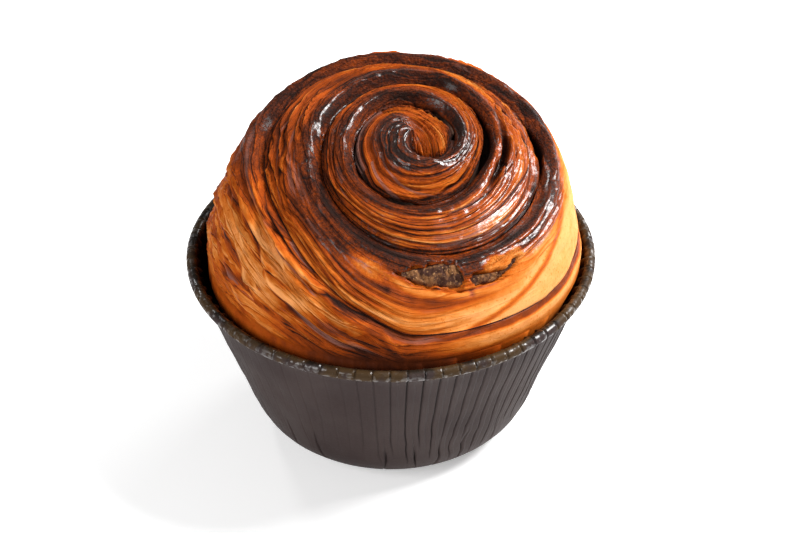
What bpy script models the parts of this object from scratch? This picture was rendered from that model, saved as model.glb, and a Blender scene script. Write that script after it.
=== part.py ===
"""A cinnamon swirl baked in a pleated paper case.

One long strip of laminated dough is wound into a coil that has risen into a
dome. The coil leans towards the front, its last turn dives down the front and
runs round low beside the rim of the case, and a sheet of dark filling winds
through it. Metres, +Z up, the front faces -Y, and the origin is the centre of
the case's base.
"""

import math

import bpy

MM = 0.001
TURN = 2 * math.pi
CLEARANCE = 0.35 * MM

# The paper case
CASE_HEIGHT = 48 * MM
RIM_RADIUS = 50 * MM
PAPER = 0.6 * MM
NECK_RADIUS = 48.3 * MM
NECK_HEIGHT = 45.2 * MM
WALL_SLOPE = math.tan(math.radians(19))
BASE_FILLET = 14.5 * MM
FILLET_STEPS = 3
PLEATS = 76
PLEAT_DEPTH = 0.42 * MM
RIM_NOTCH = 0.5 * MM

# The coil of dough, seen from above
COIL_X = 5.4 * MM
COIL_Y = -3.4 * MM
COIL_START = math.radians(216.6)
COLUMNS = 60
WHOLE_TURNS = 4

# The dome that the coil's crests lie on
APEX_HEIGHT = 84 * MM
DOME_DROP = 13.2 * MM
DOME_REACH = 40 * MM
LEAN_X = -0.08
LEAN_Y = 0.28
SHOULDER_RADIUS = 45.8 * MM
SHOULDER_X = 0.85 * MM
SHOULDER_HEIGHT = 51.5 * MM
SHOULDER_LENGTH = 16.5 * MM
SKIRT = 4 * MM
# Where the dome starts to turn down, by the compass angle seen from above
KNEES = ((0, 33), (45, 35), (90, 37), (180, 40), (225, 37), (250, 33), (270, 30), (315, 31))

# One wrap of the dough, from its groove outwards
LIP_REACH = 2.2 * MM
# Where the last turn starts to dive, in turns, and how many millimetres nearer the middle it runs there
DIVE = (2.99, 0.17)
DIVE_PULL = 4.2
GROOVE_DEPTH = 3.0 * MM
SLOT_SHARE = 0.075
SLOT_LEAST = 0.75 * MM
SLOT_MOST = 1.15 * MM
TAIL_END = 3.36
SLOT_FIRST = 0.42
SLOT_LAST = 3.02
SLOT_FLOOR = 11 * MM
SLOT_TAPER = 0.66
# Share of the way to the next groove, and height as a share of the groove's depth
FLANK = ((0.10, -0.04), (0.22, -0.12), (0.40, -0.30), (0.52, -0.36), (0.80, -0.66))
# Stretches of the coil, in turns, where a groove gapes, and how far it does
GAPING = ((0.62, 0.16, 2.0), (1.12, 0.05, 2.5), (1.42, 0.14, 5.0), (2.43, 0.09, 5.0))
# The tear under the front crest, and the filling that shows in it
TEAR_START = 2.10
TEAR_END = 2.285
TEAR_DEPTH = 3.2 * MM
TEAR_FILLING = 2.2 * MM
TEAR_ROWS = (1, 2)

# The underside, inside the case
FLOOR_CLEARANCE = 0.5 * MM
SIDE_LEVELS = (41, 33, 22, 12, 5)


def smooth(share):
    share = min(max(share, 0.0), 1.0)
    return share * share * (3 - 2 * share)


def swell(value, centre, half_width):
    """1 at the centre of a stretch, falling smoothly to 0 at its ends."""
    return smooth(1 - abs(value - centre) / half_width)


def new_material(name, colour, roughness):
    material = bpy.data.materials.new(name)
    material.use_nodes = True
    shader = material.node_tree.nodes["Principled BSDF"]
    shader.inputs["Base Color"].default_value = (*colour, 1)
    shader.inputs["Roughness"].default_value = roughness
    shader.inputs["Metallic"].default_value = 0
    return material


def add_object(name, points, faces, material):
    mesh = bpy.data.meshes.new(name)
    mesh.from_pydata(points, [], faces)
    mesh.materials.append(material)
    mesh.validate()
    mesh.shade_smooth()
    mesh.set_sharp_from_angle(angle=math.radians(40))
    piece = bpy.data.objects.new(name, mesh)
    bpy.context.collection.objects.link(piece)
    return piece


def quad(faces, a, b, c, d):
    """Adds the two triangles of a four-sided face, leaving out any that has collapsed."""
    for triangle in ((a, b, c), (a, c, d)):
        if len(set(triangle)) == 3:
            faces.append(triangle)


def wall_radius(z):
    """The outer radius of the case's straight wall."""
    return NECK_RADIUS - (NECK_HEIGHT - z) * WALL_SLOPE


def base_radius():
    corner = math.radians(90 + 19)
    return wall_radius(0) - BASE_FILLET / math.tan(corner / 2)


def case_profile(inset):
    """The case's wall from the base up to the neck, as (radius, height), inset from its outer face."""
    flat = base_radius()
    radius = BASE_FILLET - inset
    points = []
    for step in range(FILLET_STEPS + 1):
        angle = math.radians(-90 + 71 * step / FILLET_STEPS)
        points.append((flat + radius * math.cos(angle), BASE_FILLET + radius * math.sin(angle)))
    shift = inset / math.cos(math.atan(WALL_SLOPE))
    for z in (27 * MM, 43 * MM):
        points.append((wall_radius(z) - shift, z))
    return points


def pleat_strength(radius, z, azimuth):
    """Pleats fade out on the base, and are pressed nearly flat at the front left."""
    rise = smooth((z - 1 * MM) / (12 * MM))
    flat_side = swell((math.degrees(azimuth) % 360), 232, 48)
    return PLEAT_DEPTH * rise * (1 - 0.65 * flat_side)


def make_case():
    outer = [(r, z, 1.0) for r, z in case_profile(0)]
    inner = [(r, z, 1.0) for r, z in case_profile(PAPER)]
    roll = [
        (RIM_RADIUS - 0.5 * MM, 45.4 * MM, 0.0),
        (RIM_RADIUS, 46.8 * MM, 0.0),
        (RIM_RADIUS - 0.8 * MM, CASE_HEIGHT, 0.0),
        (RIM_RADIUS - 2.3 * MM, CASE_HEIGHT - 0.3 * MM, 0.0),
    ]
    profile = outer + roll + inner[::-1]
    columns = 2 * PLEATS
    points = [(0, 0, 0), (0, 0, PAPER)]
    for radius, z, pleated in profile:
        for k in range(columns):
            azimuth = TURN * k / columns
            fold = 1 if k % 2 else -1
            if pleated:
                reach = radius + fold * pleat_strength(radius, z, azimuth)
            else:
                reach = radius - (RIM_NOTCH if fold < 0 else 0)
            points.append((reach * math.cos(azimuth), reach * math.sin(azimuth), z))
    faces = []
    last = 2 + (len(profile) - 1) * columns
    for k in range(columns):
        k2 = (k + 1) % columns
        faces.append((0, 2 + k2, 2 + k))
        faces.append((1, last + k, last + k2))
        for ring in range(len(profile) - 1):
            low, high = 2 + ring * columns, 2 + (ring + 1) * columns
            quad(faces, low + k, low + k2, high + k2, high + k)
    paper = new_material("dark_baking_paper", (0.055, 0.043, 0.038), 0.62)
    return add_object("paper_case", points, faces, paper)


def knee_radius(azimuth):
    """How far from the coil's centre the dome reaches before it turns down."""
    degrees = math.degrees(azimuth) % 360
    corners = [*KNEES, (KNEES[0][0] + 360, KNEES[0][1])]
    for (start, near), (end, far) in zip(corners, corners[1:]):
        if start <= degrees <= end:
            return (near + (far - near) * smooth((degrees - start) / (end - start))) * MM


def shoulder_radius(azimuth):
    """From the coil's centre to the circle of the widest part."""
    dx, dy = COIL_X - SHOULDER_X, COIL_Y
    along = dx * math.cos(azimuth) + dy * math.sin(azimuth)
    return -along + math.sqrt(along**2 - (dx**2 + dy**2) + SHOULDER_RADIUS**2)


def dome_height(radius, azimuth):
    lean = radius * (LEAN_X * math.cos(azimuth) + LEAN_Y * math.sin(azimuth))
    return APEX_HEIGHT - DOME_DROP * (radius / DOME_REACH) ** 2 + lean


def envelope(reach, azimuth):
    """(radius, height) at a distance out along the dome: dome, rounded shoulder, then a short upright skirt."""
    knee = knee_radius(azimuth)
    if reach <= knee:
        return reach, dome_height(reach, azimuth)
    edge = shoulder_radius(azimuth)
    if reach >= knee + SHOULDER_LENGTH:
        return edge, SHOULDER_HEIGHT - (reach - knee - SHOULDER_LENGTH)
    t = (reach - knee) / SHOULDER_LENGTH
    step = 0.1 * MM
    slope = (dome_height(knee, azimuth) - dome_height(knee - step, azimuth)) / step
    start, start_way = (knee, dome_height(knee, azimuth)), (1, slope)
    end, end_way = (edge, SHOULDER_HEIGHT), (0, -1)
    weights = (2 * t**3 - 3 * t**2 + 1, t**3 - 2 * t**2 + t, 3 * t**2 - 2 * t**3, t**3 - t**2)
    return tuple(
        weights[0] * start[i]
        + weights[1] * start_way[i] * SHOULDER_LENGTH
        + weights[2] * end[i]
        + weights[3] * end_way[i] * SHOULDER_LENGTH
        for i in range(2)
    )


def on_dome(reach, azimuth, height=0.0):
    """The point at a distance out along the dome, raised along the dome's normal."""
    step = 0.3 * MM
    before = envelope(max(reach - step, 0), azimuth)
    after = envelope(reach + step, azimuth)
    run, rise = after[0] - before[0], after[1] - before[1]
    length = math.hypot(run, rise)
    radius, z = envelope(reach, azimuth)
    radius -= height * rise / length
    z += height * run / length
    return (COIL_X + radius * math.cos(azimuth), COIL_Y + radius * math.sin(azimuth), z)


def crest_reach(phi):
    """How far out the coil's crest lies after phi turns."""
    if phi < 0:
        return (1.3 + 14 * phi) * MM
    spiral = 15.03 - 0.23 * phi + 3.14 * phi**2 - 13.71 * math.exp(-phi / 0.3)
    return (spiral - DIVE_PULL * swell(phi, *DIVE)) * MM


def groove_reach(phi):
    return crest_reach(phi) - LIP_REACH


def end_reach(azimuth):
    return knee_radius(azimuth) + SHOULDER_LENGTH + SKIRT


def pitch(phi):
    return groove_reach(phi + 1) - groove_reach(phi)


def gape(phi):
    """How far the groove has opened downwards at this place, beyond its usual depth."""
    return sum(depth * swell(phi, centre, half) for centre, half, depth in GAPING) * MM


def slot_half_width(phi):
    usual = min(max(SLOT_SHARE * pitch(phi), SLOT_LEAST), SLOT_MOST)
    return usual + 0.12 * min(gape(phi), 4 * MM)


def unevenness(phi):
    return 0.35 * math.sin(10.7 * phi + 1.1) + 0.3 * math.sin(24.1 * phi + 0.4)


def relief(phi, reach, azimuth):
    """Depth of the groove here: full on the coil, shallow at the knob and along the diving last turn."""
    depth = GROOVE_DEPTH * (0.75 + 0.25 * smooth(phi)) * (1 + 0.2 * unevenness(phi))
    depth *= 1 - 0.6 * smooth((phi - 2.85) / 0.3) - 0.4 * smooth((phi - TAIL_END) / 0.12)
    return depth * smooth(reach / (4 * MM)) * smooth((end_reach(azimuth) - reach) / (4 * MM))


def slot_depth_share(phi):
    """1 where the sheet of filling runs down through the dough, 0 past its two ends."""
    return 1.0 if SLOT_FIRST < phi < SLOT_LAST else 0.012


def into_slot(point, share):
    """A point of the groove carried down its slot, which narrows with the case."""
    x = COIL_X * 0.4 + (point[0] - COIL_X) * SLOT_TAPER
    y = COIL_Y * 0.4 + (point[1] - COIL_Y) * SLOT_TAPER
    target = (x, y, SLOT_FLOOR)
    return tuple(p + (q - p) * share for p, q in zip(point, target))


def tear_share(phi):
    """1 in the middle of the tear, 0 past its ends."""
    length = TEAR_END - TEAR_START
    return smooth(4 * (phi - TEAR_START) / length) * smooth(4 * (TEAR_END - phi) / length)


def section(phi, azimuth):
    """The dough's stations from one groove to the next, as points."""
    near, wide = groove_reach(phi), pitch(phi)
    half, next_half = slot_half_width(phi), slot_half_width(phi + 1)
    here = relief(phi, max(near, 0), azimuth)
    ahead = relief(phi + 1, groove_reach(phi + 1), azimuth)
    stations = []
    for side in (-1, 1):
        rim = on_dome(max(near + side * half, 0), azimuth, -here)
        floor = into_slot(rim, slot_depth_share(phi))
        inset = 0.3 if slot_depth_share(phi) < 1 else 0.0
        centre = into_slot(on_dome(max(near, 0), azimuth, -here), slot_depth_share(phi))
        floor = tuple(p + (q - p) * inset for p, q in zip(floor, centre))
        stations.append((near + side * half * (1 - inset), floor))
    plain = [(near + half, -here), (near + half + 0.45 * (LIP_REACH - half), -0.42 * here), (near + LIP_REACH, 0)]
    room = wide - LIP_REACH
    for row, (share, height) in enumerate(FLANK):
        depth = here + (ahead - here) * share
        drop = TEAR_DEPTH * tear_share(phi) if row in TEAR_ROWS else 0
        plain.append((near + LIP_REACH + room * share, height * depth - drop))
    plain.append((groove_reach(phi + 1) - next_half, -ahead))
    for reach, height in plain:
        stations.append((reach, on_dome(max(reach, 0), azimuth, height)))
    return stations


ROWS = 6 + len(FLANK)


def case_inner_radius(z):
    """The inner radius of the case at a height, from its own profile."""
    profile = case_profile(PAPER)
    for (r1, z1), (r2, z2) in zip(profile, profile[1:]):
        if z1 <= z <= z2:
            return r1 + (r2 - r1) * (z - z1) / (z2 - z1)
    return profile[-1][0] + (z - profile[-1][1]) * WALL_SLOPE


def make_dough():
    points = [on_dome(0, 0)]
    index = {}

    def vertex(k, m):
        if k == COLUMNS:
            k, m = 0, m + ROWS
        azimuth = COIL_START + TURN * k / COLUMNS
        turn, row = divmod(m, ROWS)
        reach, point = section(turn + k / COLUMNS, azimuth)[row]
        if reach <= 0:
            return 0
        limit = end_reach(azimuth)
        key = (k, m)
        if reach >= limit:
            key, point = (k, "skirt"), on_dome(limit, azimuth)
        if key not in index:
            index[key] = len(points)
            points.append(point)
        return index[key]

    faces = []
    for k in range(COLUMNS):
        for m in range(-ROWS, WHOLE_TURNS * ROWS + ROWS - 1):
            corners = vertex(k, m), vertex(k, m + 1), vertex(k + 1, m + 1), vertex(k + 1, m)
            quad(faces, *corners)

    rings = [[index[(k, "skirt")] for k in range(COLUMNS)]]
    pressed = PLEAT_DEPTH + CLEARANCE
    for level in SIDE_LEVELS:
        z = level * MM
        ring = []
        for k in range(COLUMNS):
            x, y, _ = points[rings[0][k]]
            free = math.hypot(x, y)
            reach = min(free, case_inner_radius(z) - pressed) / free
            ring.append(len(points))
            points.append((x * reach, y * reach, z))
        rings.append(ring)
    z = PAPER + FLOOR_CLEARANCE
    foot = []
    for k in range(COLUMNS):
        x, y, _ = points[rings[-1][k]]
        reach = (base_radius() - 1 * MM) / math.hypot(x, y)
        foot.append(len(points))
        points.append((x * reach, y * reach, z))
    rings.append(foot)
    for above, below in zip(rings, rings[1:]):
        for k in range(COLUMNS):
            k2 = (k + 1) % COLUMNS
            quad(faces, above[k], below[k], below[k2], above[k2])
    middle = len(points)
    points.append((0, 0, z))
    for k in range(COLUMNS):
        faces.append((middle, foot[(k + 1) % COLUMNS], foot[k]))
    crust = new_material("glazed_crust", (0.42, 0.13, 0.025), 0.3)
    return add_object("dough_coil", points, faces, crust)


def make_filling():
    """The sheet of filling that winds through the coil, standing in the dough's slot."""
    first = math.ceil(SLOT_FIRST * COLUMNS) + 1
    last = math.floor(SLOT_LAST * COLUMNS) - 1
    points, faces = [], []
    for column in range(first, last + 1):
        phi = column / COLUMNS
        azimuth = COIL_START + TURN * phi
        near, half = groove_reach(phi), slot_half_width(phi)
        depth = relief(phi, near, azimuth)
        rims = [on_dome(near + side * half, azimuth, -depth) for side in (-1, 1)]
        drop = math.dist(rims[0], into_slot(rims[0], 1))
        proud = (0.5 * MM * (1 + unevenness(phi)) - 1.2 * gape(phi)) / drop
        for share, order in ((-proud, (0, 1)), (0.975, (1, 0))):
            walls = [into_slot(rims[side], share) for side in order]
            inset = CLEARANCE / math.dist(*walls)
            for a, b in (walls, walls[::-1]):
                points.append(tuple(p + (q - p) * inset for p, q in zip(a, b)))
    stations = last - first + 1
    for station in range(stations - 1):
        a, b = 4 * station, 4 * (station + 1)
        for corner in range(4):
            next_corner = (corner + 1) % 4
            quad(faces, a + corner, a + next_corner, b + next_corner, b + corner)
    end = 4 * (stations - 1)
    quad(faces, 3, 2, 1, 0)
    quad(faces, end, end + 1, end + 2, end + 3)
    dark = new_material("cinnamon_filling", (0.035, 0.016, 0.01), 0.45)
    return add_object("cinnamon_filling", points, faces, dark)


def make_torn_filling():
    """The lump of filling that shows where the dough has torn under the front crest."""
    first = math.ceil(TEAR_START * COLUMNS) + 1
    last = math.floor(TEAR_END * COLUMNS) - 1
    points, faces = [], []
    for column in range(first, last + 1):
        phi = column / COLUMNS
        azimuth = COIL_START + TURN * phi
        stations = section(phi, azimuth)
        low, high = (stations[5 + row][0] for row in TEAR_ROWS)
        middle, half = (low + high) / 2, (high - low) / 2
        bulge = swell(column, (first + last) / 2, (last - first) * 0.62)
        depth = relief(phi, groove_reach(phi), azimuth)
        near_floor, far_floor = (FLANK[row][1] * depth for row in TEAR_ROWS)
        tilt = (far_floor - near_floor) / 2
        base = (near_floor + far_floor) / 2 - TEAR_DEPTH * tear_share(phi) + 1.5 * CLEARANCE
        side, top = base + 0.3 * MM + 0.7 * TEAR_FILLING * bulge, base + 0.4 * MM + TEAR_FILLING * bulge
        ring = ((-0.9, base), (-0.9 - 0.4 * bulge, side), (0, top), (0.9 + 0.4 * bulge, side), (0.9, base))
        for across, height in ring:
            points.append(on_dome(middle + across * half, azimuth, height + across * tilt))
    count = len(ring)
    stations = last - first + 1
    for station in range(stations - 1):
        a, b = count * station, count * (station + 1)
        for corner in range(count):
            next_corner = (corner + 1) % count
            quad(faces, a + corner, a + next_corner, b + next_corner, b + corner)
    end = count * (stations - 1)
    for corner in range(1, count - 1):
        faces.append((0, corner + 1, corner))
        faces.append((end, end + corner, end + corner + 1))
    dark = new_material("torn_filling", (0.11, 0.07, 0.04), 0.7)
    return add_object("torn_filling", points, faces, dark)


for old in list(bpy.data.objects):
    bpy.data.objects.remove(old)
make_case()
make_dough()
make_filling()
make_torn_filling()
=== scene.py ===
import math
from functools import partialmethod

import bmesh
import bpy
import numpy as np
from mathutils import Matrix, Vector


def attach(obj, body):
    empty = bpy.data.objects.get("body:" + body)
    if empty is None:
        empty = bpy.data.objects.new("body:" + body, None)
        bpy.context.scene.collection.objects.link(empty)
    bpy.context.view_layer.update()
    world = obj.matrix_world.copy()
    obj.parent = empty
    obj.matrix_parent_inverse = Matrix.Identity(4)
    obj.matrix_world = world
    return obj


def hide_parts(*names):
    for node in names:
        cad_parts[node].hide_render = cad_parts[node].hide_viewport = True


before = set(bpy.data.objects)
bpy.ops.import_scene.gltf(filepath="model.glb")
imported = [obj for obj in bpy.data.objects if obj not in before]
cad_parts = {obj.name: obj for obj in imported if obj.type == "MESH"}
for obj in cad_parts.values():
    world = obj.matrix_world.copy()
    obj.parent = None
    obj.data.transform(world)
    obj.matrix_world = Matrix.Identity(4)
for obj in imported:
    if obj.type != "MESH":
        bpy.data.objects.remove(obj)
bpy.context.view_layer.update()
MM = 0.001
TURN = 2 * math.pi


# The paper case
# A disc of dark greaseproof paper, pressed between dies: its wall is gathered into flat narrow pleats, and
# its edge is rolled outwards over itself. It is dull brown, darker inside, and the rolled edge is glossy and
# stained with caramel.

CASE_HEIGHT = 48 * MM
RIM_RADIUS = 49.9 * MM
ROLL_RADIUS = 1.35 * MM
ROLL_START, ROLL_SWEEP = -80, 250
NECK_RADIUS = 48.2 * MM
NECK_HEIGHT = 45.2 * MM
PAPER = 0.45 * MM
WALL_DEGREES = 19
WALL_ANGLE = math.radians(WALL_DEGREES)
BASE_FILLET = 14.5 * MM
BASE_STEPS, WALL_STEPS, ROLL_STEPS = 10, 14, 8
PLEATS = 76
COLUMNS_IN_PLEAT = 14
PLEAT_DEPTH = 1.4 * MM
RIM_NOTCH = 1.0 * MM
# Anticlockwise from the right: where the wall is nearly smooth, and where its pleats are deepest
SMOOTH_SIDE, DEEP_SIDE = math.radians(232), math.radians(318)


class Wire:
    """A socket that takes part in Python arithmetic: each operation adds one Math node to its tree."""

    def __init__(self, tree, socket):
        self.tree = tree
        self.socket = socket

    def math(self, operation, *others):
        return self.node("ShaderNodeMath", {"operation": operation}, {0: self, **dict(enumerate(others, 1))})

    def node(self, kind, settings, inputs, output=0):
        return add_node(self.tree, kind, settings, inputs, output)

    __add__ = partialmethod(math, "ADD")
    __sub__ = partialmethod(math, "SUBTRACT")
    __mul__ = partialmethod(math, "MULTIPLY")
    __truediv__ = partialmethod(math, "DIVIDE")
    __rsub__ = partialmethod(math, "MULTIPLY_ADD", -1.0)
    __radd__ = __add__
    __rmul__ = __mul__

    def ramp(self, low, high):
        """0 below low, 1 above high, smooth between."""
        ends = {"Value": self, "From Min": low, "From Max": high}
        return self.node("ShaderNodeMapRange", {"interpolation_type": "SMOOTHSTEP"}, ends)


def add_node(tree, kind, settings, inputs, output=0):
    """Adds a node, gives it its settings and then its sockets' values or links, and returns one output."""
    node = tree.nodes.new(kind)
    for name, value in settings.items():
        if name == "stops":
            for index, (place, colour) in enumerate(value):
                stop = node.color_ramp.elements[index] if index < 2 else node.color_ramp.elements.new(place)
                stop.position = place
                stop.color = (*colour, 1)
        else:
            setattr(node, name, value)
    for name, value in inputs.items():
        if isinstance(value, Wire):
            tree.links.new(value.socket, node.inputs[name])
        else:
            node.inputs[name].default_value = value
    return Wire(tree, node.outputs[output])


def case_profile():
    """The case's section from the middle of the base, up the outside, over the roll and down the inside."""
    corner = math.radians(90) + WALL_ANGLE
    slope = math.tan(WALL_ANGLE)
    flat = NECK_RADIUS - NECK_HEIGHT * slope - BASE_FILLET / math.tan(corner / 2)
    outer = [(0, 0), (flat * 0.5, 0)]
    inner = [(0, PAPER), (flat * 0.5, PAPER)]
    for step in range(BASE_STEPS + 1):
        angle = math.radians(-90 + (90 - WALL_DEGREES) * step / BASE_STEPS)
        for side, radius in ((outer, BASE_FILLET), (inner, BASE_FILLET - PAPER)):
            side.append((flat + radius * math.cos(angle), BASE_FILLET + radius * math.sin(angle)))
    wall_foot, wall_top = outer[-1][1], NECK_HEIGHT - 0.3 * MM
    for step in range(1, WALL_STEPS + 1):
        z = wall_foot + (wall_top - wall_foot) * step / WALL_STEPS
        reach = NECK_RADIUS - (NECK_HEIGHT - z) * slope
        outer.append((reach, z))
        inner.append((reach - PAPER / math.cos(WALL_ANGLE), z))
    roll = []
    for step in range(ROLL_STEPS + 1):
        angle = math.radians(ROLL_START + ROLL_SWEEP * step / ROLL_STEPS)
        reach = RIM_RADIUS - ROLL_RADIUS + ROLL_RADIUS * math.cos(angle)
        roll.append((reach, CASE_HEIGHT - ROLL_RADIUS + ROLL_RADIUS * math.sin(angle)))
    return outer + roll + inner[::-1], len(outer) + ROLL_STEPS // 2


def pleat_tree(material):
    """Sweeps a section round the case's axis and presses the pleats into it."""
    tree = bpy.data.node_groups.new("pleated wall", "GeometryNodeTree")
    face = tree.interface
    face.new_socket("Section", in_out="INPUT", socket_type="NodeSocketGeometry")
    for kind, names in (
        ("NodeSocketInt", ("Rows", "Inner row", "Pleats", "Columns in pleat")),
        ("NodeSocketFloat", ("Pleat depth", "Rim notch", "Seed")),
    ):
        for name in names:
            face.new_socket(name, in_out="INPUT", socket_type=kind)
    face.new_socket("Case", in_out="OUTPUT", socket_type="NodeSocketGeometry")
    given = tree.nodes.new("NodeGroupInput")
    wires = [Wire(tree, socket) for socket in given.outputs[:8]]
    section, rows, inner_row, pleats, in_pleat, depth, notch, seed = wires
    columns = pleats * in_pleat
    grid = add_node(tree, "GeometryNodeMeshGrid", {}, {"Vertices X": columns + 1, "Vertices Y": rows})
    index = add_node(tree, "GeometryNodeInputIndex", {}, {})
    column = (index / rows).math("FLOOR")
    row = index - column * rows
    place = add_node(tree, "GeometryNodeInputPosition", {}, {})
    sampled = {0: section, "Value": place, "Index": row}
    outline = add_node(tree, "GeometryNodeSampleIndex", {"data_type": "FLOAT_VECTOR"}, sampled)
    reach = add_node(tree, "ShaderNodeSeparateXYZ", {}, {0: outline})
    height = Wire(tree, reach.socket.node.outputs[2])
    pleat = (column / in_pleat).math("ROUND")
    whole = pleat.math("FLOORED_MODULO", pleats)
    from_fold = column / in_pleat - pleat
    groove = 1 - from_fold.math("ABSOLUTE") * in_pleat
    groove = groove.math("MAXIMUM", 0.0)

    def chance(offset):
        """A number from 0 to 1 that belongs to one pleat."""
        at = add_node(tree, "ShaderNodeCombineXYZ", {}, {0: whole, 1: seed + offset})
        return add_node(tree, "ShaderNodeTexWhiteNoise", {"noise_dimensions": "2D"}, {"Vector": at})

    turn = column / columns * TURN
    smooth_side = (turn - SMOOTH_SIDE).math("COSINE").ramp(0.55, 0.97)
    deep_side = (turn - DEEP_SIDE).math("COSINE").ramp(0.1, 0.9)
    low_end = 6 * MM + chance(3.0) * 12 * MM
    rise = (height - low_end) / (5 * MM)
    rise = rise.math("MINIMUM", 1.0).math("MAXIMUM", 0.0)
    weak = 0.35 + chance(7.0) * 0.5
    strength = weak + deep_side * 0.5
    strength = strength * (1 - smooth_side * 0.88)
    # Short slanting crumples low on the wall
    slant = (chance(19.0) - 0.5) * height / (14 * MM)
    crumple = 1 - (from_fold - slant).math("ABSOLUTE") * in_pleat * 0.7
    low_band = 1 - ((height - 10 * MM) / (8 * MM)).math("ABSOLUTE")
    crumple = crumple.math("MAXIMUM", 0.0) * low_band.math("MAXIMUM", 0.0)
    crumple = crumple * chance(17.0).ramp(0.55, 0.65)
    is_wall = (height - (NECK_HEIGHT - 0.2 * MM)).math("LESS_THAN", 0.0)
    folded = groove * strength * rise
    pressed = folded * depth * is_wall
    is_inner = (row - inner_row).math("GREATER_THAN", 0.0)
    tilt = from_fold * strength * rise * is_wall * (0.35 * MM)
    is_roll = 1 - is_wall
    nick = groove * is_roll * notch * (0.6 + chance(11.0) * 0.8)
    # Slow dents in the paper, and pleats that stray sideways low down
    wave_place = {0: turn.math("COSINE") * 2.2, 1: turn.math("SINE") * 2.2, 2: height * 40}
    wave_at = add_node(tree, "ShaderNodeCombineXYZ", {}, wave_place)
    wave = noise(tree, wave_at, 1.6)
    low_down = 1 - (height / (30 * MM)).ramp(0.3, 1.0)
    off_base = (height / (3 * MM)).math("MINIMUM", 1.0)
    stray = (wave - 0.5) * low_down * 0.16 * off_base
    dent = (wave - 0.5) * 1.6 * MM * (height / (12 * MM)).ramp(0.2, 1.0) * is_wall
    final_turn = turn + stray
    final_reach = reach - pressed - crumple * depth + tilt - nick + dent - 0.35 * MM * is_wall * off_base
    x, y = final_reach * final_turn.math("COSINE"), final_reach * final_turn.math("SINE")
    position = add_node(tree, "ShaderNodeCombineXYZ", {}, {0: x, 1: y, 2: height - nick * 0.6})
    swept = add_node(tree, "GeometryNodeSetPosition", {}, {"Geometry": grid, "Position": position})
    for name, value in (("inside", is_inner), ("roll", is_roll), ("crease", folded + crumple)):
        stored = {"Geometry": swept, "Name": name, "Value": value}
        swept = add_node(tree, "GeometryNodeStoreNamedAttribute", {}, stored)
    joined = add_node(tree, "GeometryNodeMergeByDistance", {}, {"Geometry": swept, "Distance": 0.001 * MM})
    smoothed = add_node(tree, "GeometryNodeSetShadeSmooth", {}, {0: joined})
    real = add_node(tree, "GeometryNodeRealizeInstances", {}, {0: smoothed})
    made = add_node(tree, "GeometryNodeSetMaterial", {}, {"Geometry": real, "Material": material})
    result = tree.nodes.new("NodeGroupOutput")
    tree.links.new(made.socket, result.inputs[0])
    return tree


def add_object(name, data):
    added = bpy.data.objects.new(name, data)
    bpy.context.collection.objects.link(added)
    return added


def grow(name, mesh, tree, values):
    """Runs a Geometry Nodes tree on a mesh and returns its result as a plain object at the origin."""
    seed_object = add_object(name + "_seed", mesh)
    modifier = seed_object.modifiers.new("nodes", "NODES")
    modifier.node_group = tree
    sockets = {item.name: item.identifier for item in tree.interface.items_tree if item.in_out == "INPUT"}
    for socket, value in values.items():
        modifier[sockets[socket]] = value
    graph = bpy.context.evaluated_depsgraph_get()
    made = bpy.data.meshes.new_from_object(seed_object.evaluated_get(graph), depsgraph=graph)
    seed_object.modifiers.remove(modifier)
    bpy.data.objects.remove(seed_object)
    return add_object(name, made)


def face_outwards(mesh):
    shape = bmesh.new()
    shape.from_mesh(mesh)
    bmesh.ops.recalc_face_normals(shape, faces=shape.faces)
    shape.to_mesh(mesh)
    shape.free()


def new_material(name, **constants):
    """A material with one Principled shader, and its tree."""
    material = bpy.data.materials.new(name)
    material.use_nodes = True
    shader = material.node_tree.nodes["Principled BSDF"]
    for socket, value in constants.items():
        shader.inputs[socket.replace("_", " ")].default_value = value
    return material, material.node_tree, shader


def feed(tree, shader, **wires):
    for socket, wire in wires.items():
        tree.links.new(wire.socket, shader.inputs[socket.replace("_", " ")])


def attribute(tree, name):
    return add_node(tree, "ShaderNodeAttribute", {"attribute_name": name}, {}, "Fac")


def mixed(share, first, second):
    """A colour between two colours, each a wire or three numbers."""
    tree = share.tree
    first, second = ((*c, 1) if isinstance(c, tuple) else c for c in (first, second))
    node = tree.nodes.new("ShaderNodeMix")
    node.data_type = "RGBA"
    # By number, because a Mix node's number and colour sockets have the same names
    for index, value in ((0, share), (6, first), (7, second)):
        if isinstance(value, Wire):
            tree.links.new(value.socket, node.inputs[index])
        else:
            node.inputs[index].default_value = value
    return Wire(tree, node.outputs[2])


def noise(tree, vector, scale, detail=2.0, roughness=0.5):
    inputs = {"Vector": vector, "Scale": scale, "Detail": detail, "Roughness": roughness}
    return add_node(tree, "ShaderNodeTexNoise", {"noise_dimensions": "3D"}, inputs)


def bump(tree, height, distance, normal=None):
    inputs = {"Height": height, "Distance": distance, "Strength": 1.0}
    if normal:
        inputs["Normal"] = normal
    return add_node(tree, "ShaderNodeBump", {}, inputs)


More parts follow.
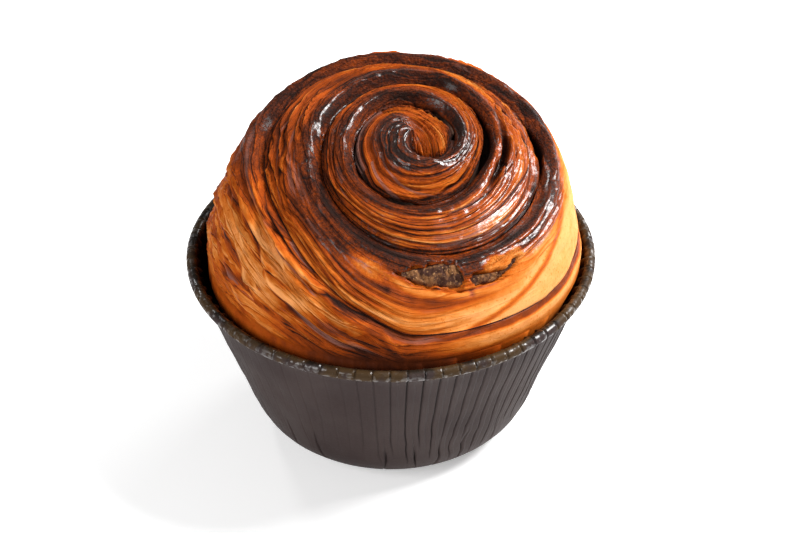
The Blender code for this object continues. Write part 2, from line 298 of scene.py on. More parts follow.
def paper_material():
    material, tree, shader = new_material("baking_paper", Specular_IOR_Level=0.1, Coat_Roughness=0.28)
    place = add_node(tree, "ShaderNodeTexCoord", {}, {}, "Object")
    inside = attribute(tree, "inside")
    crease = attribute(tree, "crease")
    cloudy = noise(tree, place, 60, 3)
    fibres = noise(tree, place, 1400, 4, 0.7)
    outside_colour = mixed(cloudy.ramp(0.3, 0.7), (0.026, 0.016, 0.015), (0.036, 0.024, 0.022))
    # The creases of the pleats and crumples are painted nearly black: painted shade in the folds
    outside_colour = mixed(crease.ramp(0.25, 0.8), outside_colour, (0.007, 0.005, 0.004))
    inside_colour = mixed(cloudy.ramp(0.3, 0.7), (0.007, 0.005, 0.004), (0.015, 0.010, 0.006))
    # Grease and crumbs of caramel have stained the rolled edge brown
    stain = attribute(tree, "roll") * noise(tree, place, 160, 2).ramp(0.36, 0.54)
    feed(
        tree,
        shader,
        Base_Color=mixed(stain, mixed(inside, outside_colour, inside_colour), (0.042, 0.023, 0.009)),
        Roughness=0.62 - inside * 0.2 + (fibres - 0.5) * 0.15,
        Coat_Weight=attribute(tree, "roll") * noise(tree, place, 700, 2).ramp(0.48, 0.60),
        Normal=bump(tree, fibres + cloudy * 2, 0.05 * MM),
    )
    return material


section, inner_row = case_profile()
outline = bpy.data.meshes.new("case_section")
outline.from_pydata([(r, 0, z) for r, z in section], [(i, i + 1) for i in range(len(section) - 1)], [])
paper_case = grow(
    "pleated_paper_case",
    outline,
    pleat_tree(paper_material()),
    {
        "Rows": len(section),
        "Inner row": inner_row,
        "Pleats": PLEATS,
        "Columns in pleat": COLUMNS_IN_PLEAT,
        "Pleat depth": PLEAT_DEPTH,
        "Rim notch": RIM_NOTCH,
        "Seed": 5.0,
    },
)
face_outwards(paper_case.data)
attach(paper_case, "root")
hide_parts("paper_case")


# The dough coil
# One strip of laminated dough, rolled up round its filling and stood on end. In the oven the turns have
# pushed up into a dome that leans to the front. The sugar glaze has burnt nearly black on the crests, and the
# flanks show the edges of the dough's layers. Lengths here are in millimetres until the mesh is made.

COIL_X, COIL_Y = 5.4, -3.4
COIL_START = math.radians(216.6)
COLUMNS = 440
TURNS = 6
APEX_HEIGHT, DOME_DROP, DOME_REACH = 84, 13.2, 40
LEAN_X, LEAN_Y = -0.08, 0.28
SHOULDER_RADIUS, SHOULDER_X, SHOULDER_HEIGHT, SHOULDER_LENGTH = 45.4, 0.85, 51.5, 16.5
SKIRT = 4
KNEES = ((0, 33), (45, 35), (90, 37), (180, 40), (225, 37), (250, 33), (270, 30), (315, 31), (360, 33))
LIP_REACH = 2.2
GROOVE_DEPTH = 3.0
DIVE, DIVE_PULL = (2.99, 0.17), 4.2
TAIL_END = 3.36
SLOT_SHARE, SLOT_LEAST, SLOT_MOST = 0.075, 0.75, 1.15
SLOT_FIRST, SLOT_LAST, SLOT_FLOOR, SLOT_TAPER = 0.42, 3.02, 11, 0.66
FLANK_SHARES = (0, 0.10, 0.22, 0.40, 0.52, 0.80, 1)
FLANK_HEIGHTS = (0, -0.04, -0.12, -0.30, -0.36, -0.66, -1)
# Where a crest strays from the even spiral: turns from the knob, and millimetres outwards
STRAY = (
    (0.4, 0), (0.85, -1.0), (1.03, 1.4), (1.2, 0.6), (1.35, -1.4), (1.53, 1.1), (1.63, 1.4), (1.76, -1.3),
    (1.91, -1.2), (2.01, -0.3), (2.15, 0.9), (2.32, 0.7), (2.47, 1.6), (2.56, -0.8), (2.66, -1.6),
    (2.76, 0.8), (2.85, 0),
)
# Stretches where a groove gapes: middle, half length in turns, and depth
GAPING = ((0.62, 0.16, 2.0), (1.12, 0.05, 2.5), (1.42, 0.14, 5.0), (2.43, 0.09, 5.0))
# Stretches where a groove's lips stand apart: middle, half length in turns, and how far
PARTED = ((0.55, 0.24, 0.7), (1.12, 0.06, 0.8), (1.42, 0.16, 1.0), (1.66, 0.16, 0.3), (2.44, 0.06, 0.8))
LIP_GAP = 0.14
SLOT_CLOSED = 2.84
WALL_SHARES = (0.02, 0.06, 0.30, 1.0)
SURFACE_ROWS = 48
ROW_CROWDING = 1.08
CELLS = 128


def smooth(share):
    share = np.clip(share, 0.0, 1.0)
    return share * share * (3 - 2 * share)


def swell(value, centre, half_width):
    return smooth(1 - np.abs(value - centre) / half_width)


def streaks(along, across, seed):
    """Smooth random numbers from 0 to 1, one for each cell of one by one, blended between cells."""
    table = np.random.default_rng(seed).random((CELLS, CELLS))
    column, row = np.floor(along).astype(int), np.floor(across).astype(int)
    right, down = smooth(along - column), smooth(across - row)
    column, row = column % CELLS, row % CELLS
    next_column, next_row = (column + 1) % CELLS, (row + 1) % CELLS
    near = table[column, row] * (1 - right) + table[next_column, row] * right
    far = table[column, next_row] * (1 - right) + table[next_column, next_row] * right
    return near * (1 - down) + far * down


def knee_reach(azimuth):
    """How far out the dome goes before it bends down into the shoulder."""
    degrees = np.degrees(azimuth) % 360
    starts, reaches = np.array(KNEES, float).T
    left = np.clip(np.searchsorted(starts, degrees, side="right") - 1, 0, len(starts) - 2)
    share = smooth((degrees - starts[left]) / (starts[left + 1] - starts[left]))
    return reaches[left] + (reaches[left + 1] - reaches[left]) * share


def shoulder_reach(azimuth):
    """How far out the shoulder ends, on a circle about the case's axis."""
    dx, dy = COIL_X - SHOULDER_X, COIL_Y
    along = dx * np.cos(azimuth) + dy * np.sin(azimuth)
    return -along + np.sqrt(along**2 - (dx**2 + dy**2) + SHOULDER_RADIUS**2)


def dome_height(radius, azimuth):
    lean = radius * (LEAN_X * np.cos(azimuth) + LEAN_Y * np.sin(azimuth))
    return APEX_HEIGHT - DOME_DROP * (radius / DOME_REACH) ** 2 + lean


def envelope(reach, azimuth):
    """Radius and height at a distance out along the dome, its rounded shoulder and then the upright skirt."""
    knee, edge = knee_reach(azimuth), shoulder_reach(azimuth)
    t = np.clip((reach - knee) / SHOULDER_LENGTH, 0, 1)
    slope = -2 * DOME_DROP * knee / DOME_REACH**2 + LEAN_X * np.cos(azimuth) + LEAN_Y * np.sin(azimuth)
    start, rise = 2 * t**3 - 3 * t**2 + 1, t**3 - 2 * t**2 + t
    end, fall = 3 * t**2 - 2 * t**3, t**3 - t**2
    radius = start * knee + rise * SHOULDER_LENGTH + end * edge
    height = start * dome_height(knee, azimuth) + rise * slope * SHOULDER_LENGTH
    height = height + end * SHOULDER_HEIGHT - fall * SHOULDER_LENGTH
    below = np.maximum(reach - knee - SHOULDER_LENGTH, 0)
    on_top = reach <= knee
    return np.where(on_top, reach, radius), np.where(on_top, dome_height(reach, azimuth), height - below)


def on_dome(reach, azimuth, height):
    """Points at a distance out along the dome, raised along its normal."""
    reach = np.maximum(reach, 0)
    before = envelope(np.maximum(reach - 0.3, 0), azimuth)
    after = envelope(reach + 0.3, azimuth)
    run, rise = after[0] - before[0], after[1] - before[1]
    length = np.hypot(run, rise)
    radius, z = envelope(reach, azimuth)
    radius, z = radius - height * rise / length, z + height * run / length
    return np.stack([COIL_X + radius * np.cos(azimuth), COIL_Y + radius * np.sin(azimuth), z], -1)


def crest_reach(phi):
    """How far out the coil's crest lies after phi turns."""
    late = np.maximum(phi, 0)
    spiral = 15.03 - 0.23 * late + 3.14 * late**2 - 13.71 * np.exp(-late / 0.3)
    turns = np.linspace(0, 4, 801)
    stray = np.interp(turns, *np.array(STRAY, float).T)
    window = np.hanning(25)
    stray = np.convolve(stray, window / window.sum(), "same")
    spiral = spiral + np.interp(late, turns, stray) - DIVE_PULL * swell(phi, *DIVE)
    return np.where(phi < 0, 1.3 + 14 * phi, spiral)


def groove_reach(phi):
    return crest_reach(phi) - LIP_REACH


def end_reach(azimuth):
    return knee_reach(azimuth) + SHOULDER_LENGTH + SKIRT


def gape(phi):
    return sum(depth * swell(phi, centre, half) for centre, half, depth in GAPING)


def slot_half_width(phi):
    wide = groove_reach(phi + 1) - groove_reach(phi)
    return np.clip(SLOT_SHARE * wide, SLOT_LEAST, SLOT_MOST) + 0.12 * np.minimum(gape(phi), 4)


def lip_gap(phi):
    """Half the width that a groove shows at the top."""
    return LIP_GAP + sum(share * swell(phi, centre, half) for centre, half, share in PARTED) * 0.9


def groove_depth(phi, reach, azimuth):
    uneven = 0.35 * np.sin(10.7 * phi + 1.1) + 0.3 * np.sin(24.1 * phi + 0.4)
    depth = GROOVE_DEPTH * (0.75 + 0.25 * smooth(phi)) * (1 + 0.2 * uneven)
    depth = depth * (1 - 0.6 * smooth((phi - 2.85) / 0.3) - 0.4 * smooth((phi - TAIL_END) / 0.12))
    return depth * smooth(reach / 4) * smooth((end_reach(azimuth) - reach) / 4)


def into_slot(points, share):
    """Points of the groove carried down its slot, which narrows as the case does."""
    centre = np.array([COIL_X, COIL_Y, 0.0])
    target = centre * 0.4 + (points - centre) * SLOT_TAPER
    target[..., 2] = SLOT_FLOOR
    return points + (target - points) * share


class Coil:
    """The coil as a grid: its columns go round, and its rows go out from groove to groove, turn by turn."""

    def __init__(self):
        walls = len(WALL_SHARES)
        self.rows = 2 * walls + SURFACE_ROWS
        column = np.arange(COLUMNS)[:, None, None]
        turn = np.arange(-1, TURNS - 1)[None, :, None]
        self.phi = turn + column / COLUMNS + np.zeros((1, 1, self.rows))
        self.azimuth = COIL_START + TURN * column / COLUMNS + 0 * self.phi
        near, far = groove_reach(self.phi), groove_reach(self.phi + 1)
        half, gap, next_gap = slot_half_width(self.phi), lip_gap(self.phi), lip_gap(self.phi + 1)
        has_slot = (self.phi > SLOT_FIRST) & (self.phi < SLOT_CLOSED)
        row = np.arange(self.rows)
        step = np.where(row < walls, row, 2 * walls - 1 - row)
        side = np.where(row < walls, -1.0, 1.0)
        self.in_slot = row < 2 * walls
        self.drop = np.where(self.in_slot & has_slot, np.array(WALL_SHARES)[step % walls], 0.0)
        wide = np.where(has_slot & (step > 0), half, gap * np.where(has_slot, 1, 1 - step / walls))
        share = np.linspace(0, 1, SURFACE_ROWS) ** ROW_CROWDING
        share = np.concatenate([np.zeros(2 * walls), share])
        self.offset = np.where(self.in_slot, side * wide, gap + (far - next_gap - near - gap) * share)
        self.near, self.pitch = near, far - near
        self.reach = near + self.offset
        steps = np.linspace(-1, TURNS, 4001)
        lengths = np.cumsum(TURN * np.maximum(crest_reach(steps), 2) * (steps[1] - steps[0]))
        self.along = np.interp(self.phi, steps, lengths)
        self.flank = np.clip((self.offset - LIP_REACH) / (self.pitch - LIP_REACH), 0, 1)
        # In the knob's middle the layers fan out from the left instead of following the turns
        self.x, self.y = self.reach * np.cos(self.azimuth), self.reach * np.sin(self.azimuth)
        bent = (self.x + self.y) * 0.7 + 0.03 * (self.x - self.y) ** 2
        in_fan = self.phi < -0.24
        self.across = np.where(in_fan, bent, self.offset)
        self.run = np.where(in_fan, (self.x - self.y) * 0.7 + 60, self.along)
        self.wide = np.where(in_fan, 9, np.minimum(self.pitch, 16))

    def strands(self, number, slant, seed):
        """Layers that run along the strip, so many from groove to groove: where each place lies among them,
        and each layer's height, tone and strength."""
        across = self.across / self.wide * number
        run = self.run / np.sqrt(self.wide / number)
        warp = 1.1 * streaks(run / 17, across / 2.6, seed) + 0.55 * streaks(run / 6, across / 1.5, seed + 1)
        warp = warp + 0.012 * number * streaks(run / 2.2, across / 0.8, seed + 4)
        place = across + 1.6 * warp + run / slant
        layer = np.floor(place)
        saw = place - layer
        height = np.where(saw < 0.84, (saw / 0.84) ** 1.4, (1 - saw) / 0.16)
        tone = streaks(run / 16, layer, seed + 2)
        strength = streaks(run / 10 + 0.5, layer, seed + 3)
        return place, height, tone, strength


coil = Coil()
phi, offset, flank = coil.phi, coil.offset, coil.flank
reach_left = end_reach(coil.azimuth) - coil.reach
depth_here = groove_depth(phi, np.maximum(coil.near, 0), coil.azimuth)
depth_ahead = groove_depth(phi + 1, coil.near + coil.pitch, coil.azimuth)
depth = depth_here + (depth_ahead - depth_here) * flank
lip = np.clip((offset - 0.4) / (LIP_REACH + 0.2), 0, 1)
profile = np.interp(flank, FLANK_SHARES, FLANK_HEIGHTS) * depth
profile -= depth_here * (1 - np.sin(lip * math.pi / 2)) ** 1.1
level = envelope(np.maximum(coil.reach, 0), coil.azimuth)[1]
degrees = np.degrees(coil.azimuth) % 360


def around(centre, half_width):
    """1 at an azimuth and 0 this many degrees either side of it."""
    return swell((degrees - centre + 180) % 360 - 180, 0, half_width)


def patch(turn, half_turn, distance, half_width):
    """1 in the middle of a patch, given in turns from the knob and in distance from the groove."""
    return swell(phi, turn, half_turn) * swell(offset, distance, half_width)


def disc(x, y, half_x, half_y, size, raggedness):
    """1 on a ragged oval patch round a place beside the knob's middle."""
    reach = np.hypot((coil.x - x) / half_x, (coil.y - y) / half_y) + raggedness * (ragged - 0.5)
    return 1 - smooth((reach - size) / 0.5)


def towards(value, target, share):
    return value + (target - value) * share


# Where each place lies on the coil, as shares from 0 to 1
outwards = phi + flank
on_crown = 1 - smooth((phi - 2.84) / 0.12)
low_right = smooth(1.3 * around(335, 105)) * smooth((outwards - 2.5) / 0.3) * smooth((76 - level) / 5)
low_left = around(205, 80) * smooth((outwards - 2.75) / 0.4)
out_to_edge = smooth(reach_left / 4)
from_middle = smooth(coil.reach / 2)

# Broad folds, strands and the edges of single layers
fold_place, folds, fold_tone, fold_strength = coil.strands(3.2, 60, 21)
ridge_place, ridges, tone, strength = coil.strands(7, 34, 31)
layer_place, layers, _, layer_strength = coil.strands(17, 23, 41)
broad = np.clip(coil.pitch / 14, 0.5, 1.2)
ragged = streaks(coil.along / 3.2, offset / 2, 51)
band_end = 2.9 + 3.0 * swell(phi, 2.04, 0.24) + 2.2 * swell(phi, 2.78, 0.2) + 0.9 * swell(phi, 0.9, 0.3)
band_end = band_end + 1.2 * (streaks(coil.along / 8, 0 * phi, 52) - 0.5) + 2.6 * (tone - 0.5)
band = (1 - smooth((offset - band_end + 0.4) / 2.2)) * on_crown * (phi > 0)
dark_foot = smooth((offset - coil.pitch + 1.1 + 1.2 * ragged) / 1.2) * (1 - smooth((phi - 1.84) / 0.12))
calm = (1 - 0.6 * band) * (1 - 0.96 * low_right) * out_to_edge * from_middle
relief = calm * broad * 0.85 * (ridges - 0.5) * (0.35 + strength) * (1 + 0.2 * low_left)
relief += calm * 0.30 * (layers - 0.5) * (0.4 + layer_strength)
relief += calm * broad * (folds - 0.5) * (0.3 + fold_strength) * (0.5 + 0.6 * low_left)
net = streaks(coil.along / 7 + offset * 0.25, offset / 2.6, 56)
web = smooth(1 - np.abs(2 * net - 1) * 3.2) * low_left
relief += 0.28 * web * out_to_edge
lumps = streaks(coil.along / 9, offset / 4, 53) + 0.6 * streaks(coil.along / 3.2, offset / 2.0, 54) - 0.8
knots = (streaks(coil.along / 1.5, offset / 1.1, 57) - 0.5) * (1 - 0.7 * low_right) * (1 - 0.6 * low_left)
relief += (0.5 * lumps * (1 - 0.5 * low_left) + 0.24 * knots) * smooth(reach_left / 5) * from_middle

# A second slot opens outside the crest on the right, and leaves a thin wall between
second = patch(1.39, 0.125, 4.1 + 0.5 * (ragged - 0.5), 1.25)
thin_wall = patch(1.40, 0.14, 2.1, 0.9)
profile = profile - 5.0 * second + 0.5 * thin_wall

# The knob, where the strip ends in a broad burnt cap, and the bright fan of layers beside it
cap = disc(-4.4, -1.6, 5.2, 7.6, 0.65, 0.3) * (phi < 1.3)
cap = np.maximum(cap, disc(0.2, -6.2, 7.6, 4.8, 0.6, 0.4) * (phi > 0) * (phi < 1.3))
fan = (phi < -0.1) * (1 - cap) * smooth((coil.pitch - offset - 0.9) / 0.8)
relief = relief * (1 - 0.6 * cap) - 0.28 * cap * streaks(coil.along / 0.9, offset / 0.9, 63)
relief -= 0.16 * band * (1 - cap) * streaks(coil.along / 1.1, offset / 0.9, 64)
profile = profile + 0.8 * cap - 1.4 * (phi < 0) * swell(np.hypot(coil.x - 3.5, coil.y - 3.5), 0, 9)

# The tear under the front crest: where it starts and ends in turns, its depth, and along it the distance of
# its middle from the groove and its half width, with a bridge of skin across it
TEAR_START, TEAR_END, TEAR_DEPTH = 2.122, 2.286, 1.9
TEAR_PLACES = (2.126, 2.148, 2.178, 2.203, 2.213, 2.240, 2.257, 2.268, 2.282)
TEAR_MIDDLES = (5.2, 4.6, 4.3, 4.7, 6.1, 6.6, 6.4, 5.6, 5.0)
TEAR_HALVES = (0.5, 2.0, 2.9, 2.9, 1.5, 1.4, 0.4, 1.2, 0.7)
TEAR_BRIDGE, BRIDGE_HALF = 2.209, 0.006


def tear_middle(phi):
    return np.interp(phi, TEAR_PLACES, TEAR_MIDDLES)


def tear_half(phi):
    return np.interp(phi, TEAR_PLACES, TEAR_HALVES)


fray = 0.50 * (streaks(coil.along / 1.6, offset / 1.3, 55) - 0.5)
fray += 0.34 * (streaks(coil.along / 0.7, offset / 0.6, 58) - 0.5)
lengthways = np.minimum(phi - TEAR_START, TEAR_END - phi) / (TEAR_END - TEAR_START) * 6
lengthways = np.minimum(lengthways, np.abs(phi - TEAR_BRIDGE) / BRIDGE_HALF - 0.3)
crossways = 1 - np.abs(offset - tear_middle(phi)) / tear_half(phi)
tear = smooth((np.clip(lengthways, -1, 1) + crossways - 1 + fray) / 0.28)
profile -= TEAR_DEPTH * tear
under = swell(offset, tear_middle(phi) + tear_half(phi) + 0.8, 1.4) * smooth(lengthways + 0.5)
relief += 0.35 * under
relief = relief * (1 - 0.5 * tear) * ~coil.in_slot
# Right of the tear the crust is thin, pale and porous
porous = patch(2.255, 0.050, 5.0, 3.6)
porous = smooth((porous - 0.25 + 0.5 * (ragged - 0.5)) / 0.3) * (1 - tear)

# Long hollows on the left, where a layer has split and shows its pale inside between a dark wall and a thin
# ridge: middle and half length in turns, distance from the groove, and half width
HOLLOWS = (
    (3.000, 0.050, 4.8, 1.3),
    (3.085, 0.034, 3.9, 1.3),
    (2.938, 0.036, 9.8, 1.6),
)
HOLLOW_SLANT = 18
hollow, wall, ridge = 0, 0, 0
for middle, half, distance, width in HOLLOWS:
    length = swell(phi, middle, half) ** 0.5
    out = (offset - distance - HOLLOW_SLANT * (phi - middle) * (distance < 9)) / width
    hollow += length * smooth((1 - np.abs(out)) / 0.35)
    wall += length * swell(out, 1.4, 0.8)
    ridge += length * swell(out, -1.25, 0.4)
relief += (0.7 * ridge - 1.1 * hollow + 0.3 * wall) * out_to_edge

height = np.where(coil.in_slot, -depth_here, profile + relief)
points = into_slot(on_dome(coil.reach, coil.azimuth, height), coil.drop[..., None])

# How dark each place is, from 0, pale gold, to 1, nearly black: mostly how far it is baked, and in places
# painted shade
bake_and_shade = 0.50 + 0.05 * on_crown * smooth((level - 70) / 12) - 0.17 * low_left
# Painted shade: the back left of the crown, away from the strongest light, is made darker
bake_and_shade += 0.18 * around(142, 60) * on_crown
# Strands vary in tone, and low places among them are darker, partly browned and partly painted shade
bake_and_shade = bake_and_shade + calm * (0.14 * (tone - 0.5) + 0.12 * (0.4 - ridges)) - 0.14 * web * (1 - 3 * low_left)
bake_and_shade = towards(bake_and_shade, 0.17, np.minimum(hollow, 1)) + 0.26 * wall - 0.16 * ridge
opened = smooth((fold_tone - 0.56) / 0.1) * low_left * smooth(reach_left / 6)
bake_and_shade -= 0.14 * opened * (0.5 + 0.5 * folds)
# Darker low at the front, where the dough meets the case's rim: painted shade, with some browning
bake_and_shade += 0.34 * smooth((7.5 - reach_left) / 5) * around(268, 50)
bake_and_shade = towards(bake_and_shade, 0.04 + 0.10 * (tone - 0.5), low_right)
# A slanting streak on the pale right side, then a brown band below the tear
streak_middle = 7.4 + 62 * (2.343 - phi)
streak = swell(offset, streak_middle, 1.1 + 0.5 * (ragged - 0.5)) * low_right * smooth((2.5 - phi) / 0.1)
bake_and_shade += 0.50 * streak
bake_and_shade = towards(bake_and_shade, 0.72, around(278, 46) * swell(offset, 8.8, 3.6) * (phi > 2) * (phi < 2.3))
# Sides and stretches that are darker or paler than the rest: some browned, and some painted shade
# Painted shade on the left of the inner turns, away from the strongest light
bake_and_shade += 0.10 * around(185, 65) * smooth((1.85 - phi) / 0.1) * on_crown
bake_and_shade += 0.10 * around(235, 45) * (phi > 1.9) * on_crown
# Painted shade low at the front, by the case's rim, with some browning
bake_and_shade += 0.17 * around(268, 35) * (phi > 2.9)
bake_and_shade -= 0.20 * patch(3.09, 0.06, 6.5, 3.2)
bake_and_shade += 0.22 * swell(phi, 2.86, 0.09) * (1 - smooth((offset - 2.4 - 1.5 * ragged) / 1.5))
# Painted shade high on the back left, away from the strongest light
bake_and_shade += 0.16 * around(155, 40) * (phi > 2.7) * smooth((level - 58) / 8)
# Smooth tan panels just inside the last groove
panel = patch(2.125, 0.09, 12.9, 1.7) * (0.5 + ragged)
bake_and_shade = towards(bake_and_shade, 0.18, np.minimum(panel, 1))
patches = streaks(coil.along / 6, offset / 1.3, 61)
burnt = 0.78 + 0.12 * swell(offset, 2.0, 2.4) + 0.24 * (patches - 0.5)
bake_and_shade = towards(bake_and_shade, burnt, np.maximum(band, dark_foot))
# A crumbly golden patch left of the tear
crumbly = patch(2.098, 0.042, 6.0, 3.2) * smooth((ragged - 0.22) / 0.3)
bake_and_shade = towards(bake_and_shade, 0.30, crumbly)
tail_line = swell(offset, 0.4, 2.0) * smooth((phi - 2.9) / 0.08) * smooth((3.5 - phi) / 0.2)
bake_and_shade = towards(bake_and_shade, 0.74, smooth(tail_line * 1.5))
# The walls down in the grooves' slots are painted nearly black: painted shade
bake_and_shade = np.where(coil.in_slot, 0.97, bake_and_shade)
bake_and_shade = towards(bake_and_shade, 0.83, cap)
# The second slot is painted nearly black too: painted shade in the gap
bake_and_shade = towards(bake_and_shade, 0.93, np.minimum(second * 1.6, 1))
bake_and_shade = towards(bake_and_shade, 0.55, fan)
bake_and_shade -= 0.40 * thin_wall
# Darker again at the skirt's lower edge, most at the front: painted shade by the case's rim, with some
# browning
bake_and_shade = towards(bake_and_shade, 0.70, smooth((2.6 - reach_left) / 2.4) * (0.4 + 0.6 * around(272, 55)))
bake_and_shade += 0.14 * smooth((3.4 - reach_left) / 3.0) * around(262, 45)
bake_and_shade = bake_and_shade * (1 - 0.75 * tear) + 0.2 * tear
bake_and_shade = towards(bake_and_shade, 0.24, np.maximum(porous, under * (1 - tear)))
speck = np.maximum(np.maximum(band, dark_foot), cap) * ~coil.in_slot
facing = around(322, 100)
gloss = np.clip(0.15 + 0.85 * smooth((bake_and_shade - 0.28) / 0.3) - tear, 0, 1) * (0.35 + 0.65 * facing)
# The glaze shines in broken patches: to the front right, on the knob, and on some lips on the left
shine = facing * on_crown * smooth((bake_and_shade - 0.3) / 0.2) * smooth((offset + 1) / 2)
shine = shine * (phi > 0.5) * smooth((level - 62) / 6)
shine = np.maximum(shine, swell(offset, 3.2, 3.6) * (phi > 0) * smooth((0.66 - phi) / 0.1))
shine = np.maximum(shine, 0.85 * cap)
lips = 0.95 * swell(offset, 1.5, 1.9) * around(155, 55) * (phi > 0.6) * (phi < 2.1)
clots = smooth((streaks(coil.along / 5, offset / 2.2, 62) - 0.5) / 0.2)
sheen = 0.5 * band * (1 - around(130, 80) * (phi > 1.8)) * clots * (phi > 0.6)
shine = np.maximum(np.maximum(shine, lips), sheen) * ~coil.in_slot


# What the coil keeps clear of the pleats, the heights of the rings below its skirt, the width of its flat
# underside, and the room that each turn has on the strip's flat map
CASE_CLEARANCE = 3.0
RING_LEVELS = (44, 40, 33, 26, 18, 11, 6, 2.5, 1.3)
UNDERSIDE_REACH = 19.5
MAP_STEP = 30.0


def case_inner_reach(z):
    """The inside of the case at a height, clear of its pleats."""
    wall = NECK_RADIUS / MM - (NECK_HEIGHT / MM - z) * math.tan(WALL_ANGLE)
    return wall - CASE_CLEARANCE - 0.9 * max(9 - z, 0)


def surface_faces(number, inside):
    """Faces between neighbouring points of the grid, and their corners' places on the strip's flat map."""
    here, ahead = slice(inside), slice(1, inside + 1)
    corners = [number[:-1, here], number[:-1, ahead], number[1:, ahead], number[1:, here]]
    quads = np.stack(corners, -1).reshape(-1, 4)
    across, along = coil.across.reshape(COLUMNS, -1), coil.run.reshape(COLUMNS, -1)
    column = np.repeat(np.arange(COLUMNS), inside)
    row = np.tile(np.arange(inside), COLUMNS)
    near = across[column, row]
    after = np.where((row + 1) % coil.rows == 0, near + 0.3, across[column, row + 1])
    shift = np.where(column + 1 == COLUMNS, coil.rows, 0)
    u_near, u_far = along[column, row], along[(column + 1) % COLUMNS, row + shift]
    u = np.stack([u_near, u_near, u_far, u_far], -1)
    v = np.stack([near, after, after, near], -1) + (row // coil.rows * MAP_STEP)[:, None]
    faces, uvs = [], []
    for quad, us, vs in zip(quads.tolist(), u.tolist(), v.tolist()):
        kept = [i for i in range(4) if quad[i] != quad[i - 1]]
        if len({quad[i] for i in kept}) > 2:
            faces.append([quad[i] for i in kept])
            uvs.extend((us[i], vs[i]) for i in kept)
    return faces, uvs


def skirt_faces(rings, tip, edge_row):
    """Faces from ring to ring below the grid, and the underside, which meets in one point, the tip."""
    across, along = coil.across.reshape(COLUMNS, -1), coil.run.reshape(COLUMNS, -1)
    columns = np.arange(COLUMNS)
    next_edge = (columns + 1) % COLUMNS, edge_row + np.where(columns + 1 == COLUMNS, coil.rows, 0)
    turns_out = edge_row // coil.rows * MAP_STEP
    near_uv = np.stack([along[columns, edge_row], across[columns, edge_row] + turns_out], -1).tolist()
    far_uv = np.stack([along[next_edge], across[next_edge] + turns_out], -1).tolist()
    faces, uvs = [], []
    for down, (upper, lower) in enumerate(zip(rings, rings[1:])):
        for k in range(COLUMNS):
            k2 = (k + 1) % COLUMNS
            faces.append([upper[k], lower[k], lower[k2], upper[k2]])
            (u, v), (u2, v2) = near_uv[k], far_uv[k]
            v, v2 = v + 4 * down, v2 + 4 * down
            uvs.extend([(u, v), (u, v + 4), (u2, v2 + 4), (u2, v2)])
    for k in range(COLUMNS):
        faces.append([tip, rings[-1][(k + 1) % COLUMNS], rings[-1][k]])
        uvs.extend([(0, 200)] * 3)
    return faces, uvs


def store_values(mesh, edge_row):
    """Stores what the crust's material reads. Below its lower edge the crust goes on as it is there."""
    stored_values = {
        "bake_and_shade": bake_and_shade,
        "speck": speck,
        "gloss": gloss,
        "crumb": np.maximum(tear, 0.6 * porous),
        "calm": calm * (1 + 0.2 * low_left),
        "shine": shine,
        "fold": fold_place,
        "ridge": ridge_place,
        "layer": layer_place,
        "run": coil.run / 2,
    }
    for name, values in stored_values.items():
        at_edge = values.reshape(COLUMNS, -1)[np.arange(COLUMNS), edge_row]
        middle = 0.9 if name == "bake_and_shade" else 0.0
        parts = [[middle], at_edge, values.ravel(), np.tile(at_edge, len(RING_LEVELS)), [0.0]]
        stored = mesh.attributes.new(name, "FLOAT", "POINT")
        stored.data.foreach_set("value", np.concatenate(parts).astype(np.float32))


def coil_mesh():
    """The grid as a mesh: rows that reach the middle or the skirt's lower edge share one point there."""
    rows = coil.rows * TURNS
    columns = np.arange(COLUMNS)
    reach = coil.reach.reshape(COLUMNS, rows)
    limit = end_reach(coil.azimuth).reshape(COLUMNS, rows)
    number = np.arange(COLUMNS * rows).reshape(COLUMNS, rows) + 1 + COLUMNS
    number = np.where(reach <= 0, 0, number)
    number = np.where(reach >= limit, 1 + columns[:, None], number)
    number = np.concatenate([number, np.roll(number[:1], -coil.rows, axis=1)])
    azimuth = COIL_START + TURN * columns / COLUMNS
    skirt = on_dome(end_reach(azimuth), azimuth, 0 * azimuth)
    coords = [np.array([[COIL_X, COIL_Y, APEX_HEIGHT]]), skirt, points.reshape(-1, 3)]
    first = 1 + COLUMNS + COLUMNS * rows
    rings = [list(range(1, 1 + COLUMNS))]
    free = np.hypot(skirt[:, 0], skirt[:, 1])
    for z in RING_LEVELS:
        inner = UNDERSIDE_REACH if z == RING_LEVELS[-1] else case_inner_reach(z)
        share = np.minimum(free, inner) / free
        coords.append(np.stack([skirt[:, 0] * share, skirt[:, 1] * share, np.full(COLUMNS, float(z))], -1))
        rings.append(list(range(first, first + COLUMNS)))
        first += COLUMNS
    coords.append(np.array([[0, 0, RING_LEVELS[-1]]]))
    edge_row = (reach < limit).sum(axis=1) - 1
    faces, uvs = surface_faces(number, rows - coil.rows - 1)
    lower_faces, lower_uvs = skirt_faces(rings, first, edge_row)
    mesh = bpy.data.meshes.new("dough_coil_baked")
    mesh.from_pydata((np.concatenate(coords) * MM).tolist(), [], faces + lower_faces)
    strip_map = mesh.uv_layers.new(name="UVMap")
    strip_map.data.foreach_set("uv", np.array(uvs + lower_uvs, np.float32).ravel())
    store_values(mesh, edge_row)
    shape = bmesh.new()
    shape.from_mesh(mesh)
    bmesh.ops.delete(shape, geom=[v for v in shape.verts if not v.link_faces], context="VERTS")
    shape.to_mesh(mesh)
    shape.free()
    mesh.shade_smooth()
    return mesh


